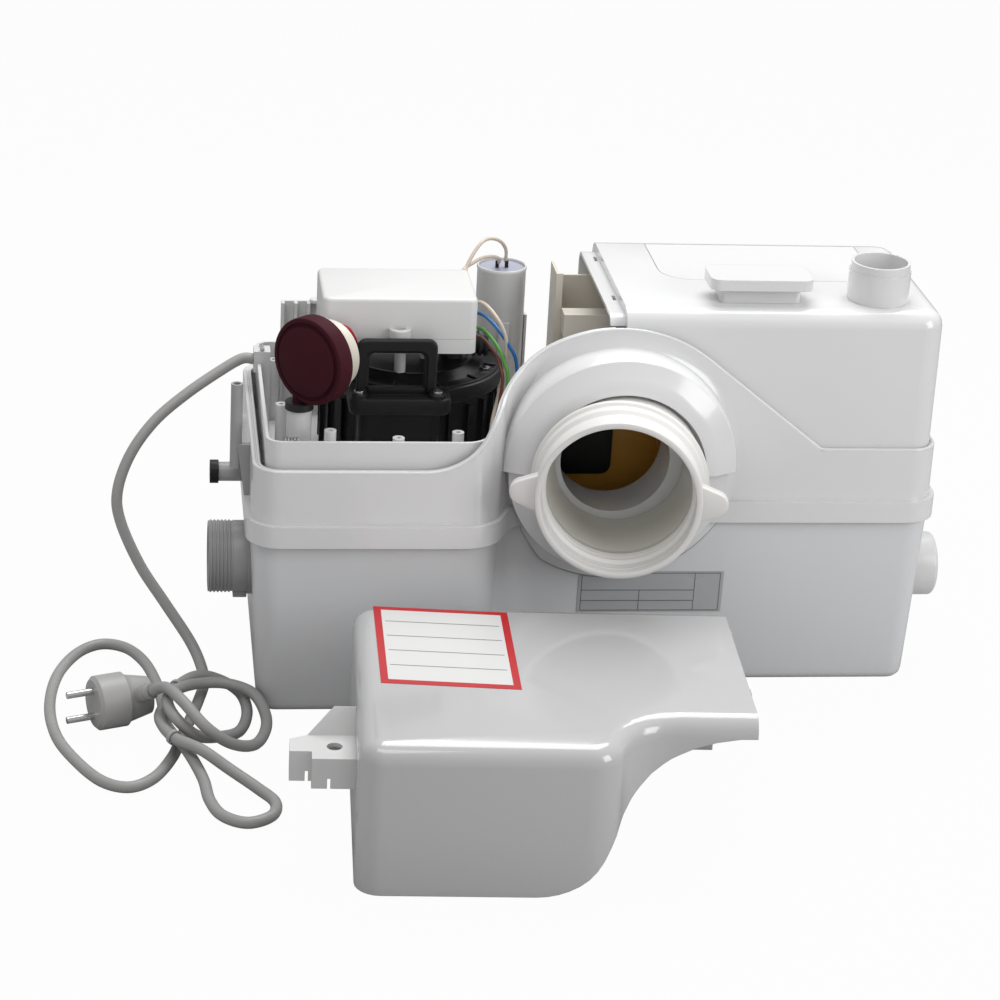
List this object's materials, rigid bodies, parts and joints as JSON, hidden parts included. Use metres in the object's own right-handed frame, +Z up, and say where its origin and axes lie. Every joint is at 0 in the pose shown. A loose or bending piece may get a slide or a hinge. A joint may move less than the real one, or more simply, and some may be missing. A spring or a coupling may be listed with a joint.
{
  "type": "sewage lifting unit",
  "caption": "Floor-standing sewage lifting unit: tank with toilet inlet cuff, grinder pump, pressure switch, filter chamber and discharge outlet, its pump cover set down in front.",
  "frame": {"origin": "middle of the tank's foot, on the floor", "axes": "+X to the right seen from the inlet side, +Y to the back, +Z up"},
  "size_m": [0.6529, 0.4871, 0.314],
  "materials": {
    "white_gloss": "glossy moulded white",
    "white_tank": "satin moulded off-white",
    "white_part": "satin moulded white",
    "grey_pipe": "light grey moulded",
    "cream_panel": "cream moulded",
    "cuff_rubber": "soft white rubber",
    "ivory_ring": "ivory moulded",
    "amber_plastic": "orange-brown moulded",
    "black_plastic": "glass-filled black",
    "black_rubber": "soft black",
    "steel": "bright steel",
    "screw_chrome": "bright plated",
    "copper_varnish": "varnished copper",
    "carbon_foam": "charcoal foam",
    "cap_lilac": "grey-lilac disc",
    "switch_red": "dark red moulded",
    "wire_pvc": "coloured wire insulation",
    "cable_grey": "grey sheath",
    "plug_grey": "pale grey moulded"
  },
  "bodies": {
    "unit": {"tank": "white_tank", "casing": "white_gloss", "screw_tower": "grey_pipe", "filter_channel": "cream_panel", "channel_box": "cream_panel", "back_bracket": "white_part", "inlet_cuff": "cuff_rubber", "inlet_sleeve": "ivory_ring", "strainer": "amber_plastic", "baffle": "black_plastic", "discharge_stub": "grey_pipe", "side_stub": "white_tank", "drain_pipe": "grey_pipe", "cable_boot": "black_rubber", "discharge_pipe": "grey_pipe", "valve_seat": "grey_pipe", "pump_cover": "black_plastic", "pump_body": "black_plastic", "cover_screws": "screw_chrome", "motor_stator": "steel", "stator_coils": "copper_varnish", "upper_bearing": "steel", "lower_bearing": "steel", "shaft_seal": "black_rubber", "volute": "black_plastic", "box_base": "white_part", "terminal_block": "cream_panel", "capacitor_can": "white_part", "capacitor_top": "cap_lilac", "capacitor_tabs": "black_plastic", "capacitor_clip": "white_part", "switch_cap": "switch_red", "switch_body": "cream_panel", "switch_blades": "steel", "switch_grommet": "black_rubber", "pressure_tube": "white_part", "cable_clamp": "white_part", "clamp_screws": "screw_chrome", "lead_wires": "wire_pvc", "mains_cable": "cable_grey", "plug_body": "plug_grey", "plug_pins": "screw_chrome", "cable_ties": "plug_grey"},
    "filter_cover": {"right_cover": "white_gloss", "hatch_handle": "white_gloss", "vent_spigot": "white_gloss"},
    "hatch": {"filter_hatch": "white_gloss", "charcoal_filter": "carbon_foam"},
    "pump_chamber_cover": {"loose_cover": "white_gloss", "cover_lug": "white_part"},
    "rotor": {"motor_shaft": "steel", "rotor_core": "steel", "impeller": "black_plastic", "cutter": "steel"},
    "diaphragm": {"switch_diaphragm": "black_rubber"},
    "flap": {"valve_flap": "black_rubber"},
    "side_cap_body": {"side_cap": "white_part"},
    "drain_cap_body": {"drain_cap": "black_plastic"},
    "electrics_lid": {"box_lid": "white_part"}
  },
  "joints": [
    {"name": "filter_cover_lift", "type": "slide", "parent": "unit", "child": "filter_cover", "axis": [0, 0, 1], "range_m": [0, 0.12]},
    {"name": "hatch_lift", "type": "slide", "parent": "filter_cover", "child": "hatch", "axis": [0, 0, 1], "range_m": [0, 0.05]},
    {"name": "pump_cover_lift", "type": "slide", "parent": "unit", "child": "pump_chamber_cover", "axis": [0, 0, 1], "range_m": [0, 0.12]},
    {"name": "rotor_spin", "type": "hinge", "parent": "unit", "child": "rotor", "pos_m": [-0.129, 0.029, 0.1], "axis": [0, 0, 1], "continuous": true},
    {"name": "diaphragm_travel", "type": "slide", "parent": "unit", "child": "diaphragm", "axis": [-0.7071, -0.7071, 0], "range_m": [0, 0.0015], "stiffness_N_per_m": 2000},
    {"name": "flap_swing", "type": "hinge", "parent": "unit", "child": "flap", "pos_m": [-0.2358, -0.04, 0.1115], "axis": [0, 1, 0], "range_deg": [0, 45]},
    {"name": "side_cap_pull", "type": "slide", "parent": "unit", "child": "side_cap_body", "axis": [1, 0, 0], "range_m": [0, 0.04]},
    {"name": "drain_cap_pull", "type": "slide", "parent": "unit", "child": "drain_cap_body", "axis": [-1, 0, 0], "range_m": [0, 0.02]},
    {"name": "electrics_lid_lift", "type": "slide", "parent": "unit", "child": "electrics_lid", "axis": [0, 0, 1], "range_m": [0, 0.05]}
  ]
}
